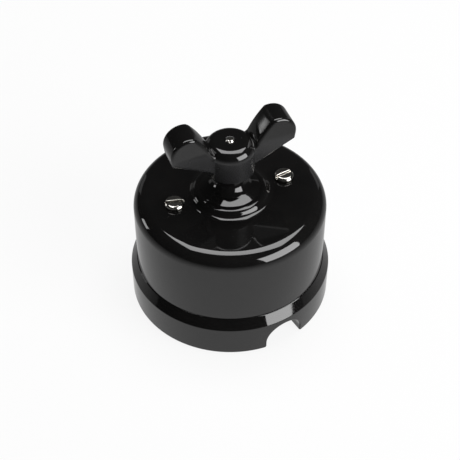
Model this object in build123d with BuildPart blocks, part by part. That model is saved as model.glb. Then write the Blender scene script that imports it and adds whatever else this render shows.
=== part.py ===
from build123d import *
from math import cos, radians, sin, sqrt, tan
import os

# A surface-mounted rotary two-way switch in black glazed porcelain.
# The origin is the centre of the wall face, +Z points out of the wall along the spindle, and the
# cover screws and the knob's wings lie along X. Sizes are in millimetres.

# Base
base_diameter = 68.0
base_rim_height = 11.1
base_bevel_width = 2.1
base_bevel_height = 3.5
base_wall = 5.0
base_cavity_depth = 9.6
base_floor = 3.4
base_edge_radius = 0.5
spigot_height = 3.0
spigot_wall = 2.5
notch_width = 13.2
notch_height = 8.9
notch_azimuth = -78.0
window_width = 8.0
window_length = 7.0
window_corner_radius = 1.5
wall_screw_circle = 40.0
wall_screw_hole = 4.4
wall_screw_sink = 8.4
wall_screw_turn = -28.0
wall_boss_diameter = 9.6

# Cap
cap_height = 27.2
cap_step = 0.1
cap_wall = 3.5
cap_roof = 4.0
cap_edge_radius = 5.0
cap_inner_edge_radius = 2.5
cap_lip_radius = 0.4
cap_post_diameter = 9.6
cap_post_height = 3.0
boss_diameter = 28.8
boss_slope_width = 3.9
boss_height = 2.2
cove_rise = 3.1
neck_diameter = 9.8
neck_height = 9.7

# Knob
knob_gap = 0.5
hub_diameter = 16.0
hub_top_diameter = 16.4
hub_height = 11.7
hub_edge_radius = 3.5
wing_span = 41.5
wing_thickness = 9.2
wing_edge_radius = 1.0
wing_root_rise = 3.6
wing_root_depth = 4.0
wing_tip_rise = 9.9
wing_tip_lean = 8.0
wing_tip_radius = 1.0
wing_crown_rise = 13.0
wing_crown_radius = 6.15
wing_peak_width = 26.0
wing_peak_radius = 1.8
wing_saddle_rise = 10.0
wing_saddle_width = 14.0
wing_slope_radius = 32.0
knob_sleeve_wall = 0.9
knob_sleeve_depth = 15.6
knob_roof = 4.6

# Fasteners
cover_screw_inset = 9.2
cover_screw_head = 6.4
cover_screw_dome = 1.8
cover_screw_rim = 0.4
cover_screw_shank = 2.9
cover_screw_length = 13.0
cover_slot_turns = (-13.0, 11.0)
slot_width = 1.0
slot_depth = 0.8
small_slot_width = 0.5
small_slot_depth = 0.4
knob_screw_head = 3.0
knob_screw_head_height = 1.6
knob_screw_edge_radius = 0.4
knob_screw_recess = 1.2
knob_screw_shank = 2.0
knob_screw_length = 10.0
pillar_across_flats = 5.5
pillar_stud = 3.0
stud_end = 0.8
nut_height = 2.2
block_screw_circle = 24.0
block_screw_shank = 2.9
block_screw_head = 5.4
block_screw_head_height = 1.8
block_screw_edge_radius = 0.6
block_screw_grip = 7.0

# Contact block and contacts
block_height = 14.0
block_well = 17.0
block_well_floor = 3.0
block_pillar_gap = 0.3
arm_width = 10.5
arm_end_gap = 1.4
pocket_wall = 1.2
pocket_floor = 4.0
terminal_width = 5.6
terminal_length = 6.0
terminal_height = 8.0
terminal_wire_hole = 2.8
terminal_wire_rise = 2.6
terminal_screw_shank = 2.9
terminal_screw_head = 4.8
terminal_screw_head_height = 1.5
finger_thickness = 0.6
finger_height = 4.0
finger_offset = 1.2
finger_foot = 3.2
finger_tail = 1.9
finger_bend_radius = 0.8
finger_gap = 0.1
finger_slot_width = 1.5
drum_diameter = 13.0
drum_sink = 0.2
strap_angle = 110.0
strap_azimuths = (90.0, 270.0)
strap_height = 6.0
strap_depth = 1.5

# Spindle, index and upper bearing
spindle_square = 3.6
spindle_pivot = 3.0
collar_diameter = 6.6
collar_lip = 0.7
thrust_washer_thickness = 0.5
thrust_washer_diameter = 11.0
cam_side = 9.0
cam_height = 3.4
cam_corner_radius = 0.8
spring_thickness = 0.5
spring_height = 3.0
spacer_diameter = 3.0
spacer_height = 3.5
spacer_margin = 2.6
bridge_thickness = 1.2
bridge_margin = 2.4
bridge_screw_shank = 1.9
bridge_screw_head = 3.6
bridge_screw_head_height = 1.2
bridge_screw_grip = 5.0
bridge_washer_thickness = 0.5
bridge_washer_diameter = 11.0
clip_thickness = 0.6
clip_diameter = 9.6
clip_groove_depth = 0.8
clip_opening = 3.2

# Clearances
running_clearance = 0.05
end_play = 0.1
slide_clearance = 0.1
cap_fit = 0.4
sleeve_gap = 0.3
screw_end_gap = 1.0

# How far a cut runs on past the surface that it opens
overcut = 1.0

# Radii and heights worked out from the sizes above
base_radius = base_diameter / 2
base_height = base_rim_height + base_bevel_height
ledge_radius = base_radius - base_bevel_width
floor_top = base_cavity_depth + base_floor
cap_radius = ledge_radius - cap_step
cap_inner_radius = cap_radius - cap_wall
cap_top = base_height + cap_height
cap_ceiling = cap_top - cap_roof
spigot_radius = cap_inner_radius - cap_fit
spigot_inner_radius = spigot_radius - spigot_wall
spigot_top = base_height + spigot_height
screw_x = cap_inner_radius - cover_screw_inset
post_bottom = cap_ceiling - cap_post_height
neck_top = cap_top + neck_height
boss_radius = boss_diameter / 2
boss_top_radius = boss_radius - boss_slope_width
boss_top = cap_top + boss_height
neck_radius = neck_diameter / 2

knob_bottom = neck_top + knob_gap
knob_top = knob_bottom + hub_height
sleeve_radius = spindle_square / sqrt(2) + slide_clearance + knob_sleeve_wall
sleeve_bottom = knob_bottom - knob_sleeve_depth
cap_bore_radius = sleeve_radius + sleeve_gap
socket_top = knob_top - knob_roof
spindle_top = socket_top - end_play

wing_crown_x = wing_span / 2 - wing_crown_radius
wing_crown_z = knob_bottom + wing_crown_rise
wing_peak_x = wing_peak_width / 2
wing_peak_z = wing_crown_z + sqrt(wing_crown_radius**2 - (wing_crown_x - wing_peak_x) ** 2)
wing_tip_z = knob_bottom + wing_tip_rise
wing_lean_x = wing_crown_x + wing_crown_radius * cos(radians(wing_tip_lean))
wing_lean_z = wing_crown_z - wing_crown_radius * sin(radians(wing_tip_lean))
wing_tip_x = wing_lean_x - (wing_lean_z - wing_tip_z) * tan(radians(wing_tip_lean))

pillar_radius = pillar_across_flats / sqrt(3)
block_radius = screw_x - pillar_radius - block_pillar_gap
block_top = floor_top + block_height
well_radius = block_well / 2
well_bottom = floor_top + block_well_floor
arm_reach = spigot_inner_radius - arm_end_gap
pocket_bottom = floor_top + pocket_floor
pocket_outer = arm_reach - pocket_wall
terminal_outer = pocket_outer - slide_clearance
terminal_inner = terminal_outer - terminal_length
terminal_top = pocket_bottom + terminal_height
pocket_inner = terminal_inner - finger_thickness - slide_clearance
pocket_width = terminal_width + 2 * slide_clearance
wire_height = pocket_bottom + terminal_wire_rise

drum_radius = drum_diameter / 2
drum_bottom = well_bottom + thrust_washer_thickness + end_play
drum_top = block_top - drum_sink
strap_middle = (drum_bottom + drum_top) / 2
square_bore = spindle_square + 2 * running_clearance
cam_top = drum_top + cam_height
bridge_bottom = block_top + spacer_height
bridge_top = bridge_bottom + bridge_thickness
washer_top = bridge_top + bridge_washer_thickness
groove_bottom = washer_top + end_play
collar_top = groove_bottom + clip_thickness + collar_lip
spring_middle = cam_side / 2 + running_clearance + spring_thickness / 2
spacer_y = spring_middle + spring_thickness / 2 + running_clearance + spacer_diameter / 2
spacer_x = sqrt((block_radius - spacer_margin) ** 2 - spacer_y**2)
spring_bend = spacer_diameter / 2 + running_clearance + spring_thickness / 2

arm_azimuths = (45.0, 135.0, 225.0, 315.0)
wall_screw_azimuth = notch_azimuth + wall_screw_turn


def level(height, azimuth=0.0):
    """A level plane at a height, with its x axis turned to an azimuth about the spindle."""
    return Plane.XY.offset(height).rotated((0, 0, azimuth))


def upright(azimuth):
    """An upright plane through the spindle: its x axis points out along the azimuth, its y axis up."""
    return Plane.XZ.rotated((0, 0, azimuth))


def corners(sketch, *points):
    """The vertices of a sketch that stand at the given points."""
    return [sketch.vertices().sort_by_distance((x, y, 0))[0] for x, y in points]


# Base: a turned plate, hollow underneath for the wiring, with a ledge and a spigot for the cap
with BuildPart() as base:
    with BuildSketch(Plane.XZ) as base_section:
        with BuildLine():
            Polyline(
                (0, base_cavity_depth),
                (base_radius - base_wall, base_cavity_depth),
                (base_radius - base_wall, 0),
                (base_radius, 0),
                (base_radius, base_rim_height),
                (ledge_radius, base_height),
                (spigot_radius, base_height),
                (spigot_radius, spigot_top),
                (spigot_inner_radius, spigot_top),
                (spigot_inner_radius, floor_top),
                (0, floor_top),
                close=True,
            )
        make_face()
        fillet(
            corners(
                base_section,
                (base_radius, 0),
                (base_radius, base_rim_height),
                (ledge_radius, base_height),
                (spigot_radius, spigot_top),
                (spigot_inner_radius, spigot_top),
                (base_radius - base_wall, 0),
            ),
            base_edge_radius,
        )
    revolve(axis=Axis.Z)
    # Bosses that carry the wall screws down to the wall face
    with BuildSketch(level(0, wall_screw_azimuth)):
        with PolarLocations(wall_screw_circle / 2, 2):
            Circle(wall_boss_diameter / 2)
    extrude(amount=base_cavity_depth + base_floor / 2)
    with Locations(level(floor_top, wall_screw_azimuth)):
        with PolarLocations(wall_screw_circle / 2, 2):
            CounterSinkHole(wall_screw_hole / 2, wall_screw_sink / 2, floor_top)
    # Arched notch for the cable, cut through the rim
    with BuildSketch(Plane.YZ.rotated((0, 0, notch_azimuth)).offset(base_radius - base_wall - overcut)):
        with Locations((0, notch_height - notch_width / 2)):
            Circle(notch_width / 2)
        with Locations((0, notch_height - notch_width / 2)):
            Rectangle(notch_width, notch_height, align=(Align.CENTER, Align.MAX))
    extrude(amount=base_wall + 2 * overcut, mode=Mode.SUBTRACT)
    # Windows that lead the wires up through the floor
    with BuildSketch(level(base_cavity_depth - overcut, notch_azimuth)):
        with PolarLocations(wall_screw_circle / 2, 2):
            RectangleRounded(window_length, window_width, window_corner_radius)
    extrude(amount=base_floor + 2 * overcut, mode=Mode.SUBTRACT)
    # Holes for the pillar studs and the block screws
    with BuildSketch(level(base_cavity_depth)):
        with Locations((-screw_x, 0), (screw_x, 0)):
            Circle(pillar_stud / 2 + slide_clearance)
        with Locations((0, -block_screw_circle / 2), (0, block_screw_circle / 2)):
            Circle(block_screw_shank / 2 + slide_clearance)
    extrude(amount=base_floor, mode=Mode.SUBTRACT)
base.part.label = "base"

# Cap: a turned cover whose boss rises in a soft step, then sweeps up to a neck round the knob's sleeve
with BuildPart() as cap:
    with BuildSketch(Plane.XZ) as cap_section:
        with BuildLine():
            Polyline(
                (cap_bore_radius, neck_top),
                (cap_bore_radius, cap_ceiling),
                (cap_inner_radius, cap_ceiling),
                (cap_inner_radius, base_height),
                (cap_radius, base_height),
                (cap_radius, cap_top),
                (boss_radius, cap_top),
            )
            foot = TangentArc(
                (boss_radius, cap_top),
                (boss_radius - boss_slope_width / 2, cap_top + boss_height / 2),
                tangent=(-1, 0),
            )
            TangentArc(foot @ 1, (boss_top_radius, boss_top), tangent=foot % 1)
            TangentArc((boss_top_radius, boss_top), (neck_radius, boss_top + cove_rise), tangent=(-1, 0))
            Polyline(
                (neck_radius, boss_top + cove_rise),
                (neck_radius, neck_top),
                (cap_bore_radius, neck_top),
            )
        make_face()
        fillet(corners(cap_section, (cap_radius, cap_top)), cap_edge_radius)
        fillet(corners(cap_section, (cap_inner_radius, cap_ceiling)), cap_inner_edge_radius)
        fillet(
            corners(
                cap_section,
                (cap_radius, base_height),
                (neck_radius, boss_top + cove_rise),
                (neck_radius, neck_top),
            ),
            cap_lip_radius,
        )
    revolve(axis=Axis.Z)
    # Posts inside, which stand on the pillars, and the screw holes through them
    with BuildSketch(level(post_bottom)):
        with Locations((-screw_x, 0), (screw_x, 0)):
            Circle(cap_post_diameter / 2)
    extrude(until=Until.NEXT)
    with Locations((-screw_x, 0, cap_top), (screw_x, 0, cap_top)):
        Hole(cover_screw_shank / 2 + slide_clearance, cap_roof + cap_post_height)
cap.part.label = "cap"

# Knob: two wings across a round hub, with a sleeve that reaches down to the spindle's square
with BuildPart() as knob:
    with BuildSketch(Plane.XZ) as wing_section:
        with BuildLine():
            RadiusArc(
                (wing_peak_x, wing_peak_z),
                (wing_saddle_width / 2, knob_bottom + wing_saddle_rise),
                -wing_slope_radius,
            )
            Polyline(
                (wing_saddle_width / 2, knob_bottom + wing_saddle_rise),
                (hub_diameter / 2 - wing_root_depth, knob_bottom + wing_saddle_rise),
                (hub_diameter / 2 - wing_root_depth, knob_bottom + wing_root_rise),
                (hub_diameter / 2, knob_bottom + wing_root_rise),
                (wing_tip_x, wing_tip_z),
                (wing_lean_x, wing_lean_z),
            )
            RadiusArc((wing_lean_x, wing_lean_z), (wing_peak_x, wing_peak_z), -wing_crown_radius)
        make_face()
        fillet(corners(wing_section, (wing_peak_x, wing_peak_z)), wing_peak_radius)
        fillet(corners(wing_section, (wing_tip_x, wing_tip_z)), wing_tip_radius)
    extrude(amount=wing_thickness / 2, both=True)
    fillet(
        knob.edges().filter_by(lambda edge: abs(edge.center().Y) > wing_thickness / 2 - 0.01),
        wing_edge_radius,
    )
    mirror(about=Plane.YZ)
    with BuildSketch(Plane.XZ) as hub_section:
        with BuildLine():
            Polyline(
                (0, sleeve_bottom),
                (sleeve_radius, sleeve_bottom),
                (sleeve_radius, knob_bottom),
                (hub_diameter / 2, knob_bottom),
                (hub_top_diameter / 2, knob_top),
                (0, knob_top),
                close=True,
            )
        make_face()
        fillet(corners(hub_section, (hub_top_diameter / 2, knob_top)), hub_edge_radius)
        fillet(corners(hub_section, (hub_diameter / 2, knob_bottom)), base_edge_radius)
    revolve(axis=Axis.Z)
    with BuildSketch(level(sleeve_bottom)):
        Rectangle(spindle_square + 2 * slide_clearance, spindle_square + 2 * slide_clearance)
    extrude(amount=socket_top - sleeve_bottom, mode=Mode.SUBTRACT)
    with Locations((0, 0, knob_top)):
        CounterBoreHole(
            knob_screw_shank / 2 + slide_clearance,
            knob_screw_head / 2 + slide_clearance,
            knob_screw_recess,
            knob_roof + overcut,
        )
knob.part.label = "knob"

# Knob screw: a slotted cheese head, sunk in the hub
with BuildPart() as knob_screw:
    with BuildSketch(level(knob_top - knob_screw_recess)):
        Circle(knob_screw_head / 2)
    extrude(amount=knob_screw_head_height)
    fillet(knob_screw.edges().group_by(Axis.Z)[-1], knob_screw_edge_radius)
    with BuildSketch(level(knob_top - knob_screw_recess)):
        Circle(knob_screw_shank / 2)
    extrude(amount=-knob_screw_length)
    with BuildSketch(level(knob_top - knob_screw_recess + knob_screw_head_height)):
        Rectangle(knob_screw_head + overcut, small_slot_width)
    extrude(amount=-small_slot_depth, mode=Mode.SUBTRACT)
knob_screw.part.label = "knob_screw"

# Cover screws: two domed slotted heads that seat on the cap
with BuildPart() as cover_screws:
    with BuildSketch(level(cap_top)):
        with Locations((-screw_x, 0), (screw_x, 0)):
            Circle(cover_screw_head / 2)
    extrude(amount=cover_screw_dome)
    fillet(cover_screws.edges().group_by(Axis.Z)[-1], cover_screw_dome - cover_screw_rim)
    with BuildSketch(level(cap_top)):
        with Locations((-screw_x, 0), (screw_x, 0)):
            Circle(cover_screw_shank / 2)
    extrude(amount=-cover_screw_length)
    for side, turn in zip((-1, 1), cover_slot_turns):
        with BuildSketch(level(cap_top + cover_screw_dome)):
            with Locations(Location((side * screw_x, 0), turn)):
                Rectangle(cover_screw_head + overcut, slot_width)
        extrude(amount=-slot_depth, mode=Mode.SUBTRACT)
cover_screws.part.label = "cover_screws"

# Cover pillars: hexagonal posts on the base floor, tapped for the cover screws
with BuildPart() as cover_pillars:
    with BuildSketch(level(floor_top)):
        with Locations((-screw_x, 0), (screw_x, 0)):
            RegularPolygon(pillar_across_flats / 2, 6, major_radius=False, rotation=30)
    extrude(amount=post_bottom - floor_top)
    with BuildSketch(level(floor_top)):
        with Locations((-screw_x, 0), (screw_x, 0)):
            Circle(pillar_stud / 2)
    extrude(amount=-base_floor - nut_height - stud_end)
    with Locations((-screw_x, 0, post_bottom), (screw_x, 0, post_bottom)):
        Hole(cover_screw_shank / 2 + running_clearance, cover_screw_length)
cover_pillars.part.label = "cover_pillars"

# Pillar nuts, in the cavity under the floor
with BuildPart() as pillar_nuts:
    with BuildSketch(level(base_cavity_depth)):
        with Locations((-screw_x, 0), (screw_x, 0)):
            RegularPolygon(pillar_across_flats / 2, 6, major_radius=False, rotation=30)
            Circle(pillar_stud / 2 + running_clearance, mode=Mode.SUBTRACT)
    extrude(amount=-nut_height)
pillar_nuts.part.label = "pillar_nuts"

# Contact block: a well for the drum, and four arms with a pocket for each terminal
with BuildPart() as contact_block:
    with BuildSketch(level(floor_top)):
        Circle(block_radius)
        for azimuth in arm_azimuths:
            with Locations(Location((0, 0), azimuth)):
                Rectangle(arm_reach, arm_width, align=(Align.MIN, Align.CENTER))
    extrude(amount=block_height)
    with BuildSketch(level(well_bottom)):
        Circle(well_radius)
    extrude(amount=block_height, mode=Mode.SUBTRACT)
    with BuildSketch(level(pocket_bottom)):
        for azimuth in arm_azimuths:
            with Locations(Location((0, 0), azimuth)):
                with Locations(((pocket_inner + pocket_outer) / 2, 0)):
                    Rectangle(pocket_outer - pocket_inner, pocket_width)
                with Locations((0, finger_offset)):
                    Rectangle(pocket_inner + overcut, finger_slot_width, align=(Align.MIN, Align.CENTER))
    extrude(amount=block_height, mode=Mode.SUBTRACT)
    for azimuth in arm_azimuths:
        with BuildSketch(Plane.YZ.rotated((0, 0, azimuth)).offset(pocket_inner)):
            with Locations((0, wire_height)):
                Circle(terminal_wire_hole / 2 + slide_clearance)
        extrude(amount=arm_reach, mode=Mode.SUBTRACT)
    with BuildSketch(level(floor_top)):
        Circle(spindle_pivot / 2 + running_clearance)
    extrude(amount=block_well_floor, mode=Mode.SUBTRACT)
    with BuildSketch(level(floor_top)):
        with Locations((0, -block_screw_circle / 2), (0, block_screw_circle / 2)):
            Circle(block_screw_shank / 2 + running_clearance)
    extrude(amount=block_screw_grip + screw_end_gap, mode=Mode.SUBTRACT)
    with BuildSketch(level(block_top)):
        with GridLocations(2 * spacer_x, 2 * spacer_y, 2, 2):
            Circle(bridge_screw_shank / 2 + running_clearance)
    extrude(amount=-bridge_screw_grip - screw_end_gap, mode=Mode.SUBTRACT)
contact_block.part.label = "contact_block"

# Block screws: their heads are in the cavity, under the floor
with BuildPart() as block_screws:
    with BuildSketch(level(base_cavity_depth)):
        with Locations((0, -block_screw_circle / 2), (0, block_screw_circle / 2)):
            Circle(block_screw_head / 2)
    extrude(amount=-block_screw_head_height)
    fillet(block_screws.edges().group_by(Axis.Z)[0], block_screw_edge_radius)
    with BuildSketch(level(base_cavity_depth)):
        with Locations((0, -block_screw_circle / 2), (0, block_screw_circle / 2)):
            Circle(block_screw_shank / 2)
    extrude(amount=base_floor + block_screw_grip)
    with BuildSketch(level(base_cavity_depth - block_screw_head_height)):
        with Locations((0, -block_screw_circle / 2), (0, block_screw_circle / 2)):
            Rectangle(block_screw_head + overcut, slot_width)
    extrude(amount=slot_depth, mode=Mode.SUBTRACT)
block_screws.part.label = "block_screws"

# Terminals: brass blocks in the pockets, with a hole for the wire and one for the clamping screw
terminals = []
for azimuth in arm_azimuths:
    with BuildPart() as terminal:
        with BuildSketch(level(pocket_bottom, azimuth)):
            with Locations(((terminal_inner + terminal_outer) / 2, 0)):
                Rectangle(terminal_length, terminal_width)
        extrude(amount=terminal_height)
        with BuildSketch(Plane.YZ.rotated((0, 0, azimuth)).offset(terminal_outer)):
            with Locations((0, wire_height)):
                Circle(terminal_wire_hole / 2)
        extrude(amount=screw_end_gap - terminal_length, mode=Mode.SUBTRACT)
        with BuildSketch(level(terminal_top, azimuth)):
            with Locations(((terminal_inner + terminal_outer) / 2, 0)):
                Circle(terminal_screw_shank / 2 + running_clearance)
        extrude(amount=wire_height - terminal_top, mode=Mode.SUBTRACT)
    terminals.append(terminal.part)

# Terminal screws: slotted cheese heads, clear of the block's top
with BuildPart() as terminal_screws:
    with BuildSketch(level(terminal_top, arm_azimuths[0])):
        with PolarLocations((terminal_inner + terminal_outer) / 2, len(arm_azimuths)):
            Circle(terminal_screw_head / 2)
    extrude(amount=terminal_screw_head_height)
    with BuildSketch(level(terminal_top, arm_azimuths[0])):
        with PolarLocations((terminal_inner + terminal_outer) / 2, len(arm_azimuths)):
            Circle(terminal_screw_shank / 2)
    extrude(amount=wire_height + terminal_wire_hole / 2 - terminal_top)
    with BuildSketch(level(terminal_top + terminal_screw_head_height, arm_azimuths[0])):
        with PolarLocations((terminal_inner + terminal_outer) / 2, len(arm_azimuths)):
            Rectangle(terminal_screw_head + overcut, slot_width)
    extrude(amount=-slot_depth, mode=Mode.SUBTRACT)
terminal_screws.part.label = "terminal_screws"

# Contact fingers: strips bent from the terminal, along the slot, to a foot that rubs on the drum
fingers = []
for azimuth in arm_azimuths:
    with BuildPart() as finger:
        with BuildSketch(level(strap_middle - finger_height / 2, azimuth)):
            with BuildLine():
                FilletPolyline(
                    (terminal_inner - finger_thickness / 2, -finger_tail),
                    (terminal_inner - finger_thickness / 2, finger_offset),
                    (drum_radius + finger_gap + finger_thickness / 2, finger_offset),
                    (drum_radius + finger_gap + finger_thickness / 2, finger_offset - finger_foot),
                    radius=finger_bend_radius,
                )
                offset(amount=finger_thickness / 2, side=Side.BOTH)
            make_face()
        extrude(amount=finger_height)
    fingers.append(finger.part)

# Drum: the insulating cylinder that the spindle turns, with two seats for the straps
with BuildPart() as drum:
    with BuildSketch(level(drum_bottom)):
        Circle(drum_radius)
        Rectangle(square_bore, square_bore, mode=Mode.SUBTRACT)
    extrude(amount=drum_top - drum_bottom)
    for middle in strap_azimuths:
        with BuildSketch(upright(middle - strap_angle / 2)):
            with Locations((drum_radius - strap_depth, strap_middle)):
                Rectangle(strap_depth + overcut, strap_height, align=(Align.MIN, Align.CENTER))
        revolve(axis=Axis.Z, revolution_arc=strap_angle, mode=Mode.SUBTRACT)
drum.part.label = "drum"

# Contact straps: brass arcs let flush into the drum, each wide enough to join two fingers
straps = []
for middle in strap_azimuths:
    with BuildPart() as strap:
        with BuildSketch(upright(middle - strap_angle / 2)):
            with Locations((drum_radius - strap_depth, strap_middle)):
                Rectangle(strap_depth, strap_height, align=(Align.MIN, Align.CENTER))
        revolve(axis=Axis.Z, revolution_arc=strap_angle)
    straps.append(strap.part)

# Spindle: a pivot, a square for the drum and cam, a grooved round collar and a square for the knob
with BuildPart() as spindle:
    with BuildSketch(level(floor_top + end_play)):
        Circle(spindle_pivot / 2)
    extrude(amount=drum_bottom - floor_top - end_play)
    with BuildSketch(level(drum_bottom)):
        Rectangle(spindle_square, spindle_square)
    extrude(amount=spindle_top - drum_bottom)
    with BuildSketch(level(cam_top)):
        Circle(collar_diameter / 2)
    extrude(amount=collar_top - cam_top)
    with BuildSketch(level(groove_bottom)):
        Circle(collar_diameter)
        Circle(collar_diameter / 2 - clip_groove_depth, mode=Mode.SUBTRACT)
    extrude(amount=clip_thickness, mode=Mode.SUBTRACT)
    with Locations((0, 0, spindle_top)):
        Hole(knob_screw_shank / 2 + running_clearance, knob_screw_length)
spindle.part.label = "spindle"

# Index cam: a square with rounded corners, which clicks into place at every quarter turn
with BuildPart() as index_cam:
    with BuildSketch(level(drum_top)):
        RectangleRounded(cam_side, cam_side, cam_corner_radius)
        Rectangle(square_bore, square_bore, mode=Mode.SUBTRACT)
    extrude(amount=cam_height)
index_cam.part.label = "index_cam"

# Index springs: leaf springs against two sides of the cam, with their ends bent round the spacers
springs = []
for side in (-1, 1):
    with BuildPart() as spring:
        with BuildSketch(level(block_top)):
            with BuildLine():
                FilletPolyline(
                    (-spacer_x - spring_bend, side * (spacer_y + spacer_diameter / 2)),
                    (-spacer_x - spring_bend, side * spring_middle),
                    (spacer_x + spring_bend, side * spring_middle),
                    (spacer_x + spring_bend, side * (spacer_y + spacer_diameter / 2)),
                    radius=spring_bend,
                )
                offset(amount=spring_thickness / 2, side=Side.BOTH)
            make_face()
        extrude(amount=spring_height)
    springs.append(spring.part)

# Bridge: spacers on the contact block, a plate that is the spindle's upper bearing, and its screws
with BuildPart() as bridge_spacers:
    with BuildSketch(level(block_top)):
        with GridLocations(2 * spacer_x, 2 * spacer_y, 2, 2):
            Circle(spacer_diameter / 2)
            Circle(bridge_screw_shank / 2 + running_clearance, mode=Mode.SUBTRACT)
    extrude(amount=spacer_height)
bridge_spacers.part.label = "bridge_spacers"

with BuildPart() as bridge_plate:
    with BuildSketch(level(bridge_bottom)):
        RectangleRounded(2 * (spacer_x + bridge_margin), 2 * (spacer_y + bridge_margin), bridge_margin)
        Circle(collar_diameter / 2 + running_clearance, mode=Mode.SUBTRACT)
        with GridLocations(2 * spacer_x, 2 * spacer_y, 2, 2):
            Circle(bridge_screw_shank / 2 + running_clearance, mode=Mode.SUBTRACT)
    extrude(amount=bridge_thickness)
bridge_plate.part.label = "bridge_plate"

with BuildPart() as bridge_screws:
    with BuildSketch(level(bridge_top)):
        with GridLocations(2 * spacer_x, 2 * spacer_y, 2, 2):
            Circle(bridge_screw_head / 2)
    extrude(amount=bridge_screw_head_height)
    with BuildSketch(level(bridge_top)):
        with GridLocations(2 * spacer_x, 2 * spacer_y, 2, 2):
            Circle(bridge_screw_shank / 2)
    extrude(amount=-bridge_thickness - spacer_height - bridge_screw_grip)
    with BuildSketch(level(bridge_top + bridge_screw_head_height)):
        with GridLocations(2 * spacer_x, 2 * spacer_y, 2, 2):
            Rectangle(bridge_screw_head + overcut, small_slot_width)
    extrude(amount=-small_slot_depth, mode=Mode.SUBTRACT)
bridge_screws.part.label = "bridge_screws"

# Washers and the clip that hold the spindle between the well floor and the bridge
with BuildPart() as thrust_washer:
    with BuildSketch(level(well_bottom)):
        Circle(thrust_washer_diameter / 2)
        Circle(spindle_pivot / 2 + running_clearance, mode=Mode.SUBTRACT)
    extrude(amount=thrust_washer_thickness)
thrust_washer.part.label = "thrust_washer"

with BuildPart() as bridge_washer:
    with BuildSketch(level(bridge_top)):
        Circle(bridge_washer_diameter / 2)
        Circle(collar_diameter / 2 + running_clearance, mode=Mode.SUBTRACT)
    extrude(amount=bridge_washer_thickness)
bridge_washer.part.label = "bridge_washer"

with BuildPart() as spindle_clip:
    with BuildSketch(level(groove_bottom)):
        Circle(clip_diameter / 2)
        Circle(collar_diameter / 2 - clip_groove_depth + running_clearance, mode=Mode.SUBTRACT)
        Rectangle(clip_diameter, clip_opening, align=(Align.MIN, Align.CENTER), mode=Mode.SUBTRACT)
    extrude(amount=clip_thickness)
spindle_clip.part.label = "spindle_clip"

os.makedirs("parts", exist_ok=True)
circuits = ("common", "way_one", "loop", "way_two")
pieces = {
    "base": base.part,
    "cap": cap.part,
    "knob": knob.part,
    "knob_screw": knob_screw.part,
    "cover_screws": cover_screws.part,
    "cover_pillars": cover_pillars.part,
    "pillar_nuts": pillar_nuts.part,
    "contact_block": contact_block.part,
    "block_screws": block_screws.part,
    "terminal_screws": terminal_screws.part,
    "drum": drum.part,
    "strap_one": straps[0],
    "strap_two": straps[1],
    "spindle": spindle.part,
    "index_cam": index_cam.part,
    "index_spring_front": springs[0],
    "index_spring_rear": springs[1],
    "bridge_spacers": bridge_spacers.part,
    "bridge_plate": bridge_plate.part,
    "bridge_screws": bridge_screws.part,
    "thrust_washer": thrust_washer.part,
    "bridge_washer": bridge_washer.part,
    "spindle_clip": spindle_clip.part,
}
for circuit, terminal_part, finger_part in zip(circuits, terminals, fingers):
    pieces[f"terminal_{circuit}"] = terminal_part
    pieces[f"finger_{circuit}"] = finger_part
for name, piece in pieces.items():
    piece.label = name
    export_step(piece, f"parts/{name}.step")
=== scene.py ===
import bmesh
import bpy
import numpy as np
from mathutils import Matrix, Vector


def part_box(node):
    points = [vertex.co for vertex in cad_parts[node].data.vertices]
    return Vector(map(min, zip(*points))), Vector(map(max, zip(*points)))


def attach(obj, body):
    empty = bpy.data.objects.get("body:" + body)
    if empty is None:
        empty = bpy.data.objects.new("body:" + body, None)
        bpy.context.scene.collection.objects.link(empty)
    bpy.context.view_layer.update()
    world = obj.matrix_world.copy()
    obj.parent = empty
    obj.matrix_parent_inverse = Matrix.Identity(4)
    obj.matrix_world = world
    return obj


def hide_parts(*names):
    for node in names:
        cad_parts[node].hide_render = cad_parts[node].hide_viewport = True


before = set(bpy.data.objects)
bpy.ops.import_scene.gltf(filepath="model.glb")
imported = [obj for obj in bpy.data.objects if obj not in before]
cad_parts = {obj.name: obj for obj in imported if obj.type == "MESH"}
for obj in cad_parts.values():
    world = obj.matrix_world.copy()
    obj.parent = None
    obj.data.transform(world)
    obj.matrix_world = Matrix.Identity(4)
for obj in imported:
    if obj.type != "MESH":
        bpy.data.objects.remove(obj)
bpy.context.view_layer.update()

# A surface-mounted rotary switch in black glazed porcelain. The shapes are worked out in
# millimetres about the spindle, with the wall face at height 0, and become metres in the meshes.
MM = 0.001

base_box = np.array(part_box("base")) / MM
cap_box = np.array(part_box("cap")) / MM
knob_box = np.array(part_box("knob")) / MM
screw_box = np.array(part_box("cover_screws")) / MM

# Base
base_radius = base_box[1][0]
spigot_top = base_box[1][2]
rim_height = 11.1
wall_top = rim_height - 0.4
ledge_height = cap_box[0][2]
ledge_radius = base_radius - 2.1
inner_wall_radius = base_radius - 5.0
cavity_depth = 9.6
inner_wall_top = cavity_depth - 0.16
floor_top = 13.0
floor_edge = 0.3
spigot_radius = 27.9
spigot_inner_radius = 25.4
porcelain_edge = 0.5
notch_azimuth = np.radians(-78.0)
notch_half_width = 6.6
notch_height = 8.9
notch_foot_radius = 0.8
notch_arch_radius = notch_half_width - 0.01
notch_flank = notch_half_width + 2.0
wall_columns = 280
opening_circle = 20.0
window_width = 8.0
window_length = 7.0
window_corner = 1.5
boss_azimuth = notch_azimuth - np.radians(28.0)
boss_radius = 4.8
boss_overlap = 0.2
wall_screw_radius = 2.2
wall_screw_sink = 4.2
wall_screw_sink_depth = 2.0

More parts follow.
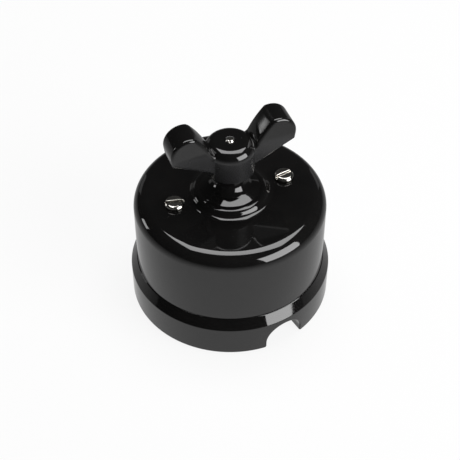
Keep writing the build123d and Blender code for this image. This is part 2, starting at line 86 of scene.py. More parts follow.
# Screw heads: radius, height of the rim, height of the dome, radius of the border, slot
cover_head = {"radius": 3.2, "rim": 1.62, "dome": 1.8, "border": 0.85, "slot": 0.95, "depth": 1.0}
knob_head = {"radius": 1.45, "rim": 1.6, "dome": 1.8, "border": 0.5, "slot": 0.4, "depth": 0.6}
head_foot_edge = 0.1
slot_edge = 0.12
cover_slot_turns = np.radians([-13.0, 11.0])
knob_slot_turn = 1.21
cover_screw_x = (screw_box[1][0] - screw_box[0][0]) / 2 - cover_head["radius"]

# Cap
cap_radius = cap_box[1][0]
neck_top = cap_box[1][2]
cap_top = screw_box[1][2] - cover_head["dome"]
cap_ceiling = cap_top - 4.0
cap_inner_radius = cap_radius - 3.5
cap_edge = 5.0
bore_radius = 3.85
step_radius = 13.9
step_slopes = np.radians([24.0, 59.0, 24.0])
step_soft_radius = 3.3
step_firm_radius = 2.0
cone_start = 9.85
cone_slope = np.radians(23.0)
cone_end = 5.79
cove_slope = np.radians(60.0)
cove_radius = 4.7
neck_radius = 4.9

# Knob
sleeve_bottom = knob_box[0][2]
hub_bottom = neck_top + 0.5
hub_top = hub_bottom + 11.7
hub_radius = 8.0
hub_flare = 0.2
hub_edge = 3.5
sleeve_radius = 3.55
sleeve_top = hub_bottom + 2.0
sleeve_edge = 0.3
wing_reach = knob_box[1][0]
wing_half_thickness = 4.6
wing_edge = 1.0
wing_peak_edge = 0.45
wing_toe_edge = 0.25
wing_crown_radius = 6.15
wing_crown = (wing_reach - wing_crown_radius, hub_bottom + 13.0)
wing_slope_foot = (7.0, hub_bottom + 10.0)
saddle_reach = wing_slope_foot[0] + 0.5
saddle_fill = 1.2
hub_fill = 0.15
wing_peak_u = 13.0
wing_slope_radius = 32.0
wing_crowning_radius = 20.0
wing_heel = (8.0, hub_bottom + 3.6)
wing_toe_height = hub_bottom + 9.9
wing_tip_lean = np.radians(8.0)
recess_radius = 1.55
recess_edge = 0.25
recess_floor = hub_top - 1.2

# Painted grey and satin on the knob: the hub's wall and the lower part of the wings are painted
# greyer, painted light that stands in for what those faces reflect, and their glaze is satin, as on
# the slopes. Its upper edge on the hub and on the wings, half the height over which it fades, and
# from where to where, out from the spindle or aside of the wings' middle, each part of it comes or goes
painted_grey_level_hub = hub_top - 2.6
painted_grey_level_wing = hub_top + 0.2
painted_grey_fade = 1.2
painted_grey_step = (8.6, 10.0)
slope_start = (8.8, 9.6)
slope_end = (12.8, 13.8)
slope_sides = (3.3, 4.2)


def rounded(corners, radii, steps, closed=False):
    """Points and outward normals of a line of straight runs. Each corner gives way to an arc that
    touches both runs, radius * tan(half the turn) from the corner. Outward is right of the way
    along the line."""
    corners = np.array(corners, float)
    before, after = np.roll(corners, 1, axis=0), np.roll(corners, -1, axis=0)
    points, normals = [], []
    for i, (corner, radius) in enumerate(zip(corners, radii)):
        way_in = (corner - before[i]) / np.linalg.norm(corner - before[i])
        way_out = (after[i] - corner) / np.linalg.norm(after[i] - corner)
        if not closed and i in (0, len(corners) - 1):
            way = way_out if i == 0 else way_in
            points.append(corner[None])
            normals.append(np.array([[way[1], -way[0]]]))
            continue
        turn = np.arctan2(way_in[0] * way_out[1] - way_in[1] * way_out[0], way_in @ way_out)
        right = np.array([way_in[1], -way_in[0]])
        start = corner - way_in * radius * np.tan(abs(turn) / 2)
        angle = np.linspace(0, turn, steps + 1)[:, None]
        normal = right * np.cos(angle) + way_in * np.sin(angle)
        points.append(start + np.sign(turn) * radius * (normal - right))
        normals.append(normal)
    points, normals = np.concatenate(points), np.concatenate(normals)
    apart = np.linalg.norm(points - np.roll(points, 1, axis=0), axis=1) > 1e-6
    return points[apart], normals[apart]


def around(radius, angle, height):
    """Points at a radius, an angle about the spindle and a height."""
    radius, angle, height = np.broadcast_arrays(radius, angle, height)
    return np.stack([radius * np.cos(angle), radius * np.sin(angle), height], axis=-1)


def skin(points, normals):
    """Vertices, normals and triangles of a grid that closes on itself both ways."""
    rows, columns = points.shape[:2]
    a = np.arange(rows * columns).reshape(rows, columns)
    b, d = np.roll(a, -1, axis=1), np.roll(a, -1, axis=0)
    c = np.roll(d, -1, axis=1)
    halves = [np.stack([a, b, c], -1), np.stack([a, c, d], -1)]
    triangles = np.concatenate([half.reshape(-1, 3) for half in halves])
    return points.reshape(-1, 3), normals.reshape(-1, 3), triangles


def lathe(corners, radii, steps, columns, centre=(0.0, 0.0)):
    """A solid ring: a closed section of (radius, height) corners, rounded, and turned about an
    upright axis."""
    points, normals = rounded(corners, radii, steps, closed=True)
    angle = np.linspace(0, 2 * np.pi, columns, endpoint=False)
    places = around(points[:, :1], angle, points[:, 1:]) + np.array([*centre, 0.0])
    return skin(places, around(normals[:, :1], angle, normals[:, 1:]))


def overlap(first, second, edge):
    """Distance to what two solids share, with their common edge rounded: a quarter circle of that
    radius where both distances are between -edge and 0."""
    a, b = first + edge, second + edge
    return np.minimum(np.maximum(a, b), 0) + np.hypot(np.maximum(a, 0), np.maximum(b, 0)) - edge


def run_together(first, second, fill):
    """Distance to two solids as one, with the corner between them filled by a quarter circle."""
    a, b = fill - first, fill - second
    return np.maximum(np.minimum(first, second), fill) - np.hypot(np.maximum(a, 0), np.maximum(b, 0))


def slope(distance, points, step=1e-3):
    """How fast a distance changes along each axis, by central differences."""
    shifts = np.eye(3) * step
    return np.stack([distance(points + s) - distance(points - s) for s in shifts], -1) / (2 * step)


def cast(distance, low, high, cell, passes=8, least_slope=0.2):
    """Skin of the solid where a distance is below zero. Every cell of a cubic lattice that the
    surface passes through holds one vertex, moved onto the surface along the steepest way, and
    every lattice edge that it crosses joins the four cells round it with two triangles."""
    low, high = np.array(low) - 2 * cell, np.array(high) + 2 * cell
    counts = np.ceil((high - low) / cell).astype(int)
    axes = [low[i] + cell * np.arange(counts[i] + 1) for i in range(3)]
    lattice = np.stack(np.meshgrid(*axes, indexing="ij"), -1)
    inside = distance(lattice.reshape(-1, 3)).reshape(lattice.shape[:3]) < 0
    corners = sum(
        inside[i : i + counts[0], j : j + counts[1], k : k + counts[2]].astype(int)
        for i in (0, 1)
        for j in (0, 1)
        for k in (0, 1)
    )
    crossed = (corners > 0) & (corners < 8)
    number = np.full(counts, -1)
    number[crossed] = np.arange(crossed.sum())
    points = low + cell * (np.argwhere(crossed) + 0.5)
    for _ in range(passes):
        steepest = slope(distance, points)
        square = np.maximum((steepest**2).sum(1, keepdims=True), least_slope)
        shift = distance(points)[:, None] * steepest / square
        points = points - np.clip(shift, -cell / 2, cell / 2)
    normals = slope(distance, points)
    normals /= np.linalg.norm(normals, axis=1, keepdims=True)
    triangles = []
    for axis in range(3):
        start = np.take(inside, range(counts[axis]), axis=axis)
        end = np.take(inside, range(1, counts[axis] + 1), axis=axis)
        edges = np.argwhere(start != end)
        outward = start[tuple(edges.T)]
        along, across = np.eye(3, dtype=int)[(axis + 1) % 3], np.eye(3, dtype=int)[(axis + 2) % 3]
        a, b, c, d = (number[tuple((edges - s).T)] for s in (along * 0, along, along + across, across))
        b, d = np.where(outward, b, d), np.where(outward, d, b)
        triangles += [np.stack([a, b, c], -1), np.stack([a, c, d], -1)]
    return points, normals, np.concatenate(triangles)


def make(name, material, body, slot, skins, *nodes):
    """Makes a piece from its skins, each with its faces outwards."""
    places, shading, faces, count = [], [], [], 0
    for points, normals, triangles in skins:
        a, b, c = (points[triangles[:, i]] for i in range(3))
        if np.einsum("ij,ij->i", a, np.cross(b, c)).sum() < 0:
            triangles = triangles[:, ::-1]
        places.append(points)
        shading.append(normals)
        faces.append(triangles + count)
        count += len(points)
    faces = np.concatenate(faces).astype(np.int32)
    mesh = bpy.data.meshes.new(name)
    mesh.vertices.add(count)
    mesh.vertices.foreach_set("co", (np.concatenate(places) * MM).astype(np.float32).ravel())
    mesh.loops.add(faces.size)
    mesh.loops.foreach_set("vertex_index", faces.ravel())
    mesh.polygons.add(len(faces))
    mesh.polygons.foreach_set("loop_start", np.arange(0, faces.size, 3, dtype=np.int32))
    mesh.update(calc_edges=True)
    mesh.validate()
    mesh.polygons.foreach_set("use_smooth", np.ones(len(mesh.polygons), bool))
    mesh.normals_split_custom_set_from_vertices(np.concatenate(shading).tolist())
    place(name, mesh, material, body, slot, *nodes)


def place(name, mesh, material, body, slot, *nodes):
    """Puts a mesh into the scene as a piece that stands for CAD nodes and rides on a body."""
    piece = bpy.data.objects.new(name, mesh)
    bpy.context.scene.collection.objects.link(piece)
    mesh.materials.clear()
    mesh.materials.append(material)
    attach(piece, body)
    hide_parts(*nodes)
    return piece


class Wire:
    """What a node's output carries. Arithmetic on wires adds Math nodes."""

    def __init__(self, tree, socket):
        self.tree, self.socket = tree, socket

    def beside(self, name):
        """Another output of the same node."""
        return Wire(self.tree, self.socket.node.outputs[name])

    def maths(self, operation, first, second):
        return self.tree.node("ShaderNodeMath", {"operation": operation}, {0: first, 1: second})

    def __add__(self, other):
        return self.maths("ADD", self, other)

    def __radd__(self, other):
        return self.maths("ADD", other, self)

    def __sub__(self, other):
        return self.maths("SUBTRACT", self, other)

    def __rsub__(self, other):
        return self.maths("SUBTRACT", other, self)

    def __mul__(self, other):
        return self.maths("MULTIPLY", self, other)

    def __rmul__(self, other):
        return self.maths("MULTIPLY", other, self)

    def __truediv__(self, other):
        return self.maths("DIVIDE", self, other)

    def __pow__(self, other):
        return self.maths("POWER", self, other)


class Tree:
    """The nodes of a material or a world, and the one way in which they are added."""

    def __init__(self, owner):
        owner.use_nodes = True
        self.nodes, self.links = owner.node_tree.nodes, owner.node_tree.links

    def node(self, kind, settings=None, values=None, out=0):
        """Adds a node: its settings first, then the values or wires of its sockets."""
        node = self.nodes.new(kind)
        for name, value in (settings or {}).items():
            setattr(node, name, value)
        for name, value in (values or {}).items():
            self.feed(node.inputs[name], value)
        return Wire(self, node.outputs[out])

    def feed(self, socket, value):
        """Sets a socket, or links a wire to it."""
        if isinstance(value, Wire):
            self.links.new(value.socket, socket)
        else:
            socket.default_value = value

    def between(self, factor, low, high):
        """A colour between two, by a factor."""
        low, high = (end if isinstance(end, Wire) else (*end, 1.0) for end in (low, high))
        return self.node("ShaderNodeMix", {"data_type": "RGBA"}, {0: factor, 6: low, 7: high}, out=2)


class Finish(Tree):
    """A material for one of the object's surfaces."""

    def __init__(self, name):
        self.material = bpy.data.materials.new(name)
        super().__init__(self.material)
        self.shader = self.nodes["Principled BSDF"]
        self.output = self.nodes["Material Output"]

    def set(self, **values):
        """Sets or links the shader's own sockets, with _ for the spaces in their names."""
        for name, value in values.items():
            self.feed(self.shader.inputs[name.replace("_", " ")], value)

    def where(self):
        """The place on the object, in metres."""
        return self.node("ShaderNodeTexCoord", out="Object")

    def millimetres(self):
        """The same place as three numbers, in millimetres."""
        apart = self.node("ShaderNodeSeparateXYZ", {}, {0: self.where()})
        return [apart.beside(axis) / MM for axis in "XYZ"]

    def noise(self, size, detail, roughness=0.5, stretch=(1.0, 1.0, 1.0)):
        """Noise from 0 to 1 whose blotches are about so many millimetres across."""
        spot = self.node("ShaderNodeMapping", {}, {"Vector": self.where(), "Scale": stretch})
        values = {"Vector": spot, "Scale": 1 / (size * MM), "Detail": detail, "Roughness": roughness}
        return self.node("ShaderNodeTexNoise", {}, values)

    def specks(self, spacing, core, border):
        """0 in specks that stand about so many millimetres apart and 1 between them. The core and
        the border are shares of the spacing."""
        cells = {"Vector": self.where(), "Scale": 1 / (spacing * MM)}
        return self.clear(self.node("ShaderNodeTexVoronoi", {}, cells), core, border)

    def clear(self, value, low, high):
        """0 below low, 1 above high, smooth between."""
        values = {"Value": value, "From Min": low, "From Max": high}
        return self.node("ShaderNodeMapRange", {"interpolation_type": "SMOOTHSTEP"}, values)

    def relief(self, height, depth, normal=None):
        """A bump of so many millimetres for a height from 0 to 1."""
        values = {"Height": height, "Strength": 1.0, "Distance": depth * MM}
        if normal:
            values["Normal"] = normal
        return self.node("ShaderNodeBump", {}, values)


def satin_and_painted_grey(finish):
    """Two masks on the knob, from 0 to 1: first the hub's wall and the lower part of the wings, which
    get painted grey, painted light that stands in for what they reflect, and a satin finish, and
    second the slopes between the wings' peaks and the hub, which are only satin."""
    x, y, z = finish.millimetres()
    out, aside = x * x, y * y
    radius = (out + aside) ** 0.5
    level = painted_grey_level_hub + (painted_grey_level_wing - painted_grey_level_hub) * finish.clear(radius, *painted_grey_step)
    # Painted grey below this level: painted light on the hub's wall and the wings' lower part
    low = 1.0 - finish.clear(z - level, -painted_grey_fade, painted_grey_fade)
    start, end, sides = (
        finish.clear(square, near**2, far**2)
        for square, (near, far) in ((out, slope_start), (out, slope_end), (aside, slope_sides))
    )
    return low, start * (1.0 - end) * (1.0 - sides)


glaze_darkest = (0.0030, 0.0030, 0.0031)
glaze_palest = (0.0055, 0.0052, 0.0050)
# Painted grey for the knob's hub wall and wings' lower part: painted light, not the glaze's own colour
painted_grey_glaze = (0.0130, 0.0130, 0.0135)


def black_glaze(name, satin_and_painted=None):
    """Near-black glossy glaze: slow waves where it flowed, a fine ripple, and a few pinholes. Where
    a mask maker is given, its masks make the glaze satin, and the first also paints it greyer:
    painted light that stands in for what those faces reflect."""
    finish = Finish(name)
    flow = finish.noise(9.0, detail=1.0)
    ripple = finish.noise(1.6, detail=2.0)
    cloud = finish.noise(5.0, detail=3.0)
    bump = finish.relief(flow, 0.010)
    bump = finish.relief(ripple, 0.0012, bump)
    bump = finish.relief(finish.specks(4.5, 0.012, 0.03), 0.02, bump)
    colour = finish.between(cloud, glaze_darkest, glaze_palest)
    roughness = 0.03 + 0.035 * cloud
    if satin_and_painted:
        low, slopes = satin_and_painted(finish)
        # Painted light: greyer colour on the hub's wall and the wings' lower part, in place of what they
        # reflect
        colour = finish.between(low, colour, painted_grey_glaze)
        roughness = roughness + 0.22 * low + 0.17 * slopes
    finish.set(Base_Color=colour, Roughness=roughness, IOR=1.5, Normal=bump)
    return finish.material


def bare_porcelain():
    """Unglazed porcelain: warm white, slightly rough, with small iron specks."""
    finish = Finish("bare_porcelain")
    grain = finish.noise(0.35, detail=4.0, roughness=0.7)
    stain = finish.noise(7.0, detail=3.0)
    body = finish.between(stain, (0.60, 0.57, 0.50), (0.74, 0.72, 0.66))
    iron = (0.26, 0.20, 0.15)
    colour = finish.between(0.3 + 0.7 * finish.specks(2.2, 0.05, 0.1), iron, body)
    finish.set(Base_Color=colour, Roughness=0.55 + 0.2 * grain, Normal=finish.relief(grain, 0.02))
    return finish.material


def metal(name, low, high, roughness, brushed=(1.0, 1.0, 1.0), dull=0.14, scratch=0.004):
    """A worked metal: tarnish in clouds between two colours, and fine marks from its making."""
    finish = Finish(name)
    tarnish = finish.noise(1.8, detail=4.0, roughness=0.6)
    marks = finish.noise(0.25, detail=3.0, roughness=0.7, stretch=brushed)
    finish.set(
        Base_Color=finish.between(tarnish, low, high),
        Metallic=1.0,
        Roughness=roughness + dull * tarnish + 0.3 * dull * marks,
        Normal=finish.relief(marks, scratch),
    )
    return finish.material


def moulded_resin():
    """Dark brown pressed resin with a faint mottle."""
    finish = Finish("moulded_resin")
    mottle = finish.noise(1.2, detail=5.0, roughness=0.65)
    finish.set(
        Base_Color=finish.between(mottle, (0.018, 0.010, 0.007), (0.045, 0.024, 0.015)),
        Roughness=0.32 + 0.15 * mottle,
        Normal=finish.relief(mottle, 0.01),
    )
    return finish.material


glaze = black_glaze("black_glaze")
# The knob's glaze carries painted grey light on its hub wall and the wings' lower part
knob_glaze = black_glaze("knob_glaze", satin_and_painted_grey)
finishes = {
    "black_glaze": glaze,
    "steatite": bare_porcelain(),
    "nickel": metal("nickel", (0.56, 0.54, 0.50), (0.74, 0.72, 0.68), 0.05, dull=0.07),
    "zinc_steel": metal("zinc_steel", (0.50, 0.51, 0.50), (0.66, 0.66, 0.63), 0.28, (1, 1, 4)),
    "brass": metal("brass", (0.60, 0.42, 0.17), (0.80, 0.60, 0.28), 0.24, (1, 1, 5)),
    "spring_bronze": metal("spring_bronze", (0.55, 0.33, 0.17), (0.70, 0.46, 0.26), 0.26, (5, 1, 1)),
    "moulded_resin": moulded_resin(),
}
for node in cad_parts.values():
    node.data.materials[0] = finishes[node.data.materials[0].name.split(".")[0]]


def base_ring():
    """The base's wall, rim, ledge and spigot as one closed grid. Every column stands on a point of
    the foot line: the wall's foot circle, which climbs over the cable notch as an arch. The wall's
    rows run evenly from the foot line to a level ring, and the rest is a section turned about the
    spindle."""
    half_arch = [(notch_half_width, notch_height), (notch_half_width, 0), (notch_flank, 0)]
    other_half = [(-across, height) for across, height in reversed(half_arch)]
    arch_radii = [0, notch_foot_radius, notch_arch_radius, notch_arch_radius, notch_foot_radius, 0]
    arch, arch_normals = rounded(other_half + half_arch, arch_radii, steps=14)
    share = np.linspace(0, 1, wall_columns + 2)[1:-1]
    across = np.concatenate([arch[:, 0], np.full(len(share), notch_flank)])
    foot = np.concatenate([arch[:, 1], np.zeros(len(share))])
    lean = np.concatenate([arch_normals[:, 0], np.zeros(len(share))])
    drop = np.concatenate([arch_normals[:, 1], np.full(len(share), -1.0)])
    on_arch = np.arange(len(across)) < len(arch)
    share = np.concatenate([np.zeros(len(arch)), share])
    step = np.hypot(*np.diff(arch, axis=0).T)
    along = np.concatenate([[0], np.cumsum(step)]) / step.sum()
    even = np.concatenate([(2 * along - 1) * notch_flank, np.full(len(share) - len(arch), notch_flank)])

    def angle(offset, radius):
        """The angle of a column at a radius: straight through the notch, evenly spaced elsewhere."""
        edge = np.arcsin(notch_flank / radius)
        inside = np.arcsin(np.clip(offset / radius, -1, 1))
        return notch_azimuth + np.where(on_arch, inside, edge + share * 2 * (np.pi - edge))

    level_angle = angle(even, base_radius)
    tangent = np.array([-np.sin(notch_azimuth), np.cos(notch_azimuth), 0.0])
    foot_normals = lean[:, None] * tangent + drop[:, None] * np.array([0.0, 0.0, 1.0])
    rows, normals = [], []

    def edge_rows(wall_radius, way):
        """Rows of the quarter round between the notch or foot and a wall that faces out or in."""
        made = []
        for turn in np.linspace(0, np.pi / 2, 7):
            inset = porcelain_edge * (1 - np.cos(turn))
            radius = wall_radius - way * porcelain_edge * (1 - np.sin(turn))
            where = angle(across - lean * inset, radius)
            point = around(radius, where, foot - drop * inset)
            normal = np.cos(turn) * foot_normals + np.sin(turn) * way * around(1.0, where, 0.0)
            made.append((point, normal, where))
        return made

    def wall_rows(start, radius, height, way):
        """Rows from the foot line's quarter round to a level ring, on the cylinder between them."""
        point, _, where = start
        for part in np.linspace(0, 1, 8)[1:-1]:
            turn = where + part * (level_angle - where)
            rise = point[:, 2] + part * (height - point[:, 2])
            yield around(radius, turn, rise), around(way, turn, 0.0), turn

    outside = edge_rows(base_radius, 1.0)
    inside = edge_rows(inner_wall_radius, -1.0)
    section, section_normals = rounded(
        [
            (base_radius, wall_top),
            (base_radius, rim_height),
            (ledge_radius, ledge_height),
            (spigot_radius, ledge_height),
            (spigot_radius, spigot_top),
            (spigot_inner_radius, spigot_top),
            (spigot_inner_radius, cavity_depth),
            (inner_wall_radius, cavity_depth),
            (inner_wall_radius, inner_wall_top),
        ],
        [0, 0.5, 0.5, 0.3, 0.5, 0.5, 0.05, 0.1, 0],
        steps=8,
    )
    for point, normal, _ in outside + list(wall_rows(outside[-1], base_radius, wall_top, 1.0)):
        rows.append(point)
        normals.append(normal)
    for (radius, height), (out, up) in zip(section, section_normals):
        rows.append(around(radius, level_angle, height))
        normals.append(around(out, level_angle, up))
    inner = inside + list(wall_rows(inside[-1], inner_wall_radius, inner_wall_top, -1.0))
    for point, normal, _ in reversed(inner):
        rows.append(point)
        normals.append(normal)
    return skin(np.array(rows), np.array(normals))


def wall_screw_bosses():
    """Two tubes under the base's floor, each with a countersunk hole: a section turned about each."""
    section = [
        (wall_screw_radius, 0),
        (boss_radius, 0),
        (boss_radius, cavity_depth + 1),
        (wall_screw_sink, floor_top - 0.02),
        (wall_screw_radius, floor_top - wall_screw_sink_depth),
    ]
    for turn in (0, np.pi):
        centre = around(opening_circle, boss_azimuth + turn, 0.0)[:2]
        yield lathe(section, [0.3, 0.5, 0.3, 0.1, 0.2], steps=6, columns=72, centre=centre)


def base_floor():
    """The base's floor: a flat plate cut by the wire windows and the screw holes."""
    curve = bpy.data.curves.new("floor_outline", "CURVE")
    curve.dimensions, curve.fill_mode = "2D", "BOTH"
    curve.extrude = (floor_top - cavity_depth) / 2 * MM

    def outline(points):
        spline = curve.splines.new("POLY")
        spline.points.add(len(points) - 1)
        spline.points.foreach_set("co", np.pad(points * MM, ((0, 0), (0, 2))).astype(np.float32).ravel())
        spline.use_cyclic_u = True

    def circle(radius, at, count=64):
        outline(around(radius, np.linspace(0, 2 * np.pi, count, endpoint=False), 0.0)[:, :2] + at)

    circle(spigot_inner_radius, (0, 0), 240)
    half_long, half_wide = window_length / 2, window_width / 2
    window, _ = rounded(
        [(-half_long, -half_wide), (half_long, -half_wide), (half_long, half_wide), (-half_long, half_wide)],
        [window_corner] * 4,
        steps=8,
        closed=True,
    )
    for turn in (0, np.pi):
        way = notch_azimuth + turn
        out, side = np.array([np.cos(way), np.sin(way)]), np.array([-np.sin(way), np.cos(way)])
        outline(window[:, :1] * out + window[:, 1:] * side + opening_circle * out)
        circle(boss_radius - boss_overlap, around(opening_circle, boss_azimuth + turn, 0.0)[:2])
    shape = bpy.data.objects.new("floor_outline", curve)
    bpy.context.scene.collection.objects.link(shape)
    bpy.context.view_layer.update()
    mesh = bpy.data.meshes.new_from_object(shape.evaluated_get(bpy.context.evaluated_depsgraph_get()))
    bpy.data.objects.remove(shape)
    bpy.data.curves.remove(curve)
    work = bmesh.new()
    work.from_mesh(mesh)
    bmesh.ops.remove_doubles(work, verts=work.verts, dist=1e-7)
    bmesh.ops.recalc_face_normals(work, faces=work.faces)
    bmesh.ops.translate(work, verts=work.verts, vec=(0, 0, (floor_top + cavity_depth) / 2 * MM))
    work.to_mesh(mesh)
    work.free()
    return mesh


make("base_ring", glaze, "housing", "black_glaze", [base_ring(), *wall_screw_bosses()], "base")
floor_plate = place("base_floor", base_floor(), glaze, "housing", "black_glaze", "base")
round_over = floor_plate.modifiers.new("round_over", "BEVEL")
round_over.width, round_over.segments, round_over.limit_method = floor_edge * MM, 3, "ANGLE"
round_over.harden_normals = True

# Cap: the wall, the boss with its soft step, the cove up to the neck, the bore, and back inside
soft_run = step_soft_radius * np.tan(step_slopes[0] / 2)
firm_run = step_firm_radius * np.tan((step_slopes[1] - step_slopes[0]) / 2)
step_runs = np.array([soft_run + firm_run, 2 * firm_run, soft_run + firm_run])
step_way = np.stack([-np.cos(step_slopes), np.sin(step_slopes)], 1) * step_runs[:, None]
step_corners = np.array([step_radius, cap_top]) + np.concatenate([np.zeros((1, 2)), np.cumsum(step_way, 0)])
step_top = step_corners[-1][1]
cone_top = step_top + (cone_start - cone_end) * np.tan(cone_slope)
cap_section = [
    (cap_radius, ledge_height),
    (cap_radius, cap_top),
    *step_corners,
    (cone_start, step_top),
    (cone_end, cone_top),
    (neck_radius, cone_top + (cone_end - neck_radius) * np.tan(cove_slope)),
    (neck_radius, neck_top),
    (bore_radius, neck_top),
    (bore_radius, cap_ceiling),
    (cap_inner_radius, cap_ceiling),
    (cap_inner_radius, ledge_height),
]
step_radii = [step_soft_radius, step_firm_radius, step_firm_radius, step_soft_radius]
cap_corner_radii = [0.4, cap_edge, *step_radii, 1.0, cove_radius, 0.3, 0.4, 0.3, 0.3, 2.5, 0.3]
make("cap_shell", glaze, "housing", "black_glaze", [lathe(cap_section, cap_corner_radii, 20, 400)], "cap")


def half_plane(u, z, start, end):
    """Distance from the line through two points of the wing's outline, positive on its right."""
    (u0, z0), (u1, z1) = start, end
    length = np.hypot(u1 - u0, z1 - z0)
    return ((u - u0) * (z1 - z0) - (z - z0) * (u1 - u0)) / length


peak_angle = np.arccos((wing_peak_u - wing_crown[0]) / wing_crown_radius)
wing_peak = (wing_peak_u, wing_crown[1] + wing_crown_radius * np.sin(peak_angle))
lean_u = wing_crown[0] + wing_crown_radius * np.cos(wing_tip_lean)
lean_z = wing_crown[1] - wing_crown_radius * np.sin(wing_tip_lean)
wing_toe = (lean_u - (lean_z - wing_toe_height) * np.tan(wing_tip_lean), wing_toe_height)
chord = np.subtract(wing_peak, wing_slope_foot)
slope_middle = (
    np.add(wing_peak, wing_slope_foot) / 2
    + np.array([chord[1], -chord[0]])
    / np.hypot(*chord)
    * np.sqrt(wing_slope_radius**2 - (chord @ chord) / 4)
)


def knob_distance(points):
    """Distance to the knob: a round hub, two wings across it, and the sleeve below. A wing is the
    overlap of the half planes of its outline, as thick as the wing, with its edges rounded."""
    x, y, z = points.T
    u, radius = np.abs(x), np.hypot(x, y)
    wall = radius - hub_radius - hub_flare * (z - hub_bottom) / (hub_top - hub_bottom)
    hub = overlap(overlap(wall, z - hub_top, hub_edge), hub_bottom - z, porcelain_edge)
    from_crown, rise = u - wing_crown[0], z - wing_crown[1]
    facing = np.clip(np.arctan2(rise, from_crown), -wing_tip_lean, peak_angle)
    crown = from_crown * np.cos(facing) + rise * np.sin(facing) - wing_crown_radius
    slope_side = np.hypot(u - slope_middle[0], z - slope_middle[1]) - wing_slope_radius
    crowning = (y**2 - wing_half_thickness**2) / (2 * wing_crowning_radius)
    outline = overlap(crown, slope_side + crowning, wing_peak_edge)
    outline = overlap(outline, half_plane(u, z, wing_heel, wing_toe), wing_toe_edge)
    outline = overlap(outline, wing_heel[1] - z, wing_edge)
    saddle = np.maximum(np.maximum(z - wing_slope_foot[1], u - saddle_reach), wing_heel[1] - z)
    outline = run_together(outline, saddle, saddle_fill)
    wing = overlap(outline, np.abs(y) - wing_half_thickness, wing_edge)
    sleeve = overlap(radius - sleeve_radius, np.maximum(sleeve_bottom - z, z - sleeve_top), sleeve_edge)
    recess = np.maximum(radius - recess_radius, recess_floor - z)
    knob = np.minimum(run_together(hub, wing, hub_fill), sleeve)
    return overlap(knob, -recess, recess_edge)


knob_skin = cast(knob_distance, knob_box[0], knob_box[1], cell=0.22)
make("knob_body", knob_glaze, "knob", "black_glaze", [knob_skin], "knob")


def slotted_head(points, centre, seat, turn, radius, rim, dome, border, slot, depth):
    """Distance to a domed screw head with a slot: the overlap of a cylinder and a ball with a round
    border, less a rectangular groove turned about the screw's axis."""
    x, y, z = (points - np.array([*centre, seat])).T
    ball = (radius**2 + (dome - rim) ** 2) / (2 * (dome - rim))
    crown = np.sqrt(x**2 + y**2 + (z - dome + ball) ** 2) - ball
    body = overlap(overlap(np.hypot(x, y) - radius, crown, border), -z, head_foot_edge)
    groove = np.maximum(np.abs(y * np.cos(turn) - x * np.sin(turn)) - slot / 2, dome - depth - z)
    return overlap(body, -groove, slot_edge)


def screw_head(centre, seat, turn, head, cell):
    """The skin of one slotted screw head, in the box round its cylinder."""
    radius = head["radius"]
    low = (centre[0] - radius, centre[1] - radius, seat)
    high = (centre[0] + radius, centre[1] + radius, seat + head["dome"])
    return cast(lambda points: slotted_head(points, centre, seat, turn, **head), low, high, cell)


nickel = finishes["nickel"]
heads = [
    screw_head((side * cover_screw_x, 0.0), cap_top, turn, cover_head, cell=0.1)
    for side, turn in zip((-1, 1), cover_slot_turns)
]
make("cover_screw_heads", nickel, "housing", "nickel", heads, "cover_screws")
small_head = screw_head((0.0, 0.0), recess_floor, knob_slot_turn, knob_head, cell=0.06)
make("knob_screw_head", nickel, "knob", "nickel", [small_head], "knob_screw")

# Camera, at the angle and distance of the photograph
view_azimuth = np.radians(-20.5)
view_elevation = np.radians(45.34)
view_distance = 0.375
aim = Vector((0.0, 0.0, 0.023645))
focal_length_px = 1107.4
image_px = 460.0
sensor = 36.0


def direction(azimuth, elevation):
    """The unit vector at an azimuth and an elevation, in radians. The camera looks from azimuth
    -pi / 2, and azimuth 0 is on its right."""
    azimuth, level = azimuth + view_azimuth, np.cos(elevation)
    return Vector((np.cos(azimuth) * level, np.sin(azimuth) * level, np.sin(elevation)))


camera = bpy.data.objects.new("camera", bpy.data.cameras.new("camera"))
bpy.context.scene.collection.objects.link(camera)
camera.data.sensor_width = sensor
camera.data.lens = focal_length_px / image_px * sensor
camera.data.clip_start = 0.01
to_camera = direction(-np.pi / 2, view_elevation)
camera.location = aim + to_camera * view_distance
camera.rotation_mode = "QUATERNION"
camera.rotation_quaternion = (-to_camera).to_track_quat("-Z", "Y")
bpy.context.scene.camera = camera


def softbox(name, centre, width, height, brightness):
    """A flat lamp of that size in metres, whose face has that brightness and looks down."""
    lamp = bpy.data.lights.new(name, "AREA")
    lamp.shape, lamp.size, lamp.size_y = "RECTANGLE", width, height
    lamp.energy = brightness * width * height * np.pi
    box = bpy.data.objects.new(name, lamp)
    bpy.context.scene.collection.objects.link(box)
    box.location = centre
    return box


# Softbox over the object: right of it, behind it, above it, all as shares of the rise
middle = Vector((0.0, 0.0, 0.040))
rise = 0.7
overhead_offset = 0.10 * direction(0.0, 0.0) + 0.27 * direction(np.pi / 2, 0.0) + Vector((0.0, 0.0, 1.0))
overhead_centre = middle + rise * overhead_offset
overhead = softbox("overhead_softbox", overhead_centre, rise, 0.62 * rise, brightness=6.4)
overhead.rotation_euler = (0, 0, view_azimuth)

# Softboxes and cards round the object: azimuth, elevation, distance, width, height, brightness
around_it = {
    "front_softbox": (-34, 21, 0.8, 0.60, 0.56, 8.2),
    "left_softbox": (165, 12.5, 1.0, 0.21, 0.22, 5.0),
    "right_card": (57, 11, 1.0, 0.22, 0.30, 0.35),
    "left_card": (127, 11, 1.0, 0.22, 0.30, 0.35),
}
for name, (azimuth, elevation, distance, width, height, brightness) in around_it.items():
    centre = middle + distance * direction(np.radians(azimuth), np.radians(elevation))
    box = softbox(name, centre, width, height, brightness)
    box.rotation_mode = "QUATERNION"
    box.rotation_quaternion = (middle - centre).to_track_quat("-Z", "Y")

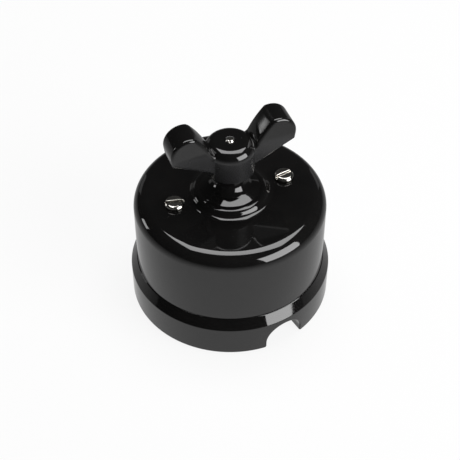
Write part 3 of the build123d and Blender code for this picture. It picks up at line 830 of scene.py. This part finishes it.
# Room: white to the camera, dim to the glaze
white = (0.98, 0.98, 0.98)
dim = (0.035, 0.035, 0.035)
world = bpy.data.worlds.new("room")
bpy.context.scene.world = world
room = Tree(world)
to_the_camera = room.node("ShaderNodeLightPath", out="Is Camera Ray")
room.feed(room.nodes["Background"].inputs["Color"], room.between(to_the_camera, dim, white))

# Floor: half its side in metres, and its glow: how far before the object its middle lies and how
# far it reaches, in metres, how much brighter it is near than far, and its share in the picture
floor_half = 4.0
glow_forward = 0.06
glow_reach = 0.11
glow_far = 0.2
glow_near = 0.65
glow_share = 0.9
floor_white = (0.8, 0.8, 0.8, 1.0)


def pale_floor():
    """A white table that keeps the object's shadow and is clear from below. To the glaze it fades
    away from the object."""
    finish = Finish("pale_floor")
    ends = {0: finish.where(), 1: direction(-np.pi / 2, 0.0) * glow_forward}
    offset = finish.node("ShaderNodeVectorMath", {"operation": "SUBTRACT"}, ends)
    reach = finish.node("ShaderNodeVectorMath", {"operation": "LENGTH"}, {0: offset}, out="Value")
    fade = glow_far + glow_near * (1.0 + (reach / glow_reach) ** 2) ** -1
    seen = finish.node("ShaderNodeLightPath", out="Is Camera Ray")
    mirrored = seen.beside("Is Glossy Ray")
    glow = finish.node("ShaderNodeEmission", {}, {"Strength": seen * white[0] + mirrored * fade})
    plain = finish.node("ShaderNodeBsdfDiffuse", {}, {"Color": floor_white})
    above = finish.node("ShaderNodeMixShader", {}, {0: seen * glow_share + mirrored, 1: plain, 2: glow})
    underside = finish.node("ShaderNodeNewGeometry", out="Backfacing")
    clear = finish.node("ShaderNodeBsdfTransparent")
    table = finish.node("ShaderNodeMixShader", {}, {0: underside, 1: above, 2: clear})
    finish.feed(finish.output.inputs["Surface"], table)
    return finish.material


floor_mesh = bpy.data.meshes.new("floor")
floor_corners = [(x * floor_half, y * floor_half, 0) for x, y in ((-1, -1), (1, -1), (1, 1), (-1, 1))]
floor_mesh.from_pydata(floor_corners, [], [(0, 1, 2, 3)])
floor_mesh.materials.append(pale_floor())
floor = bpy.data.objects.new("floor", floor_mesh)
bpy.context.scene.collection.objects.link(floor)

bpy.context.scene.view_settings.view_transform = "Standard"
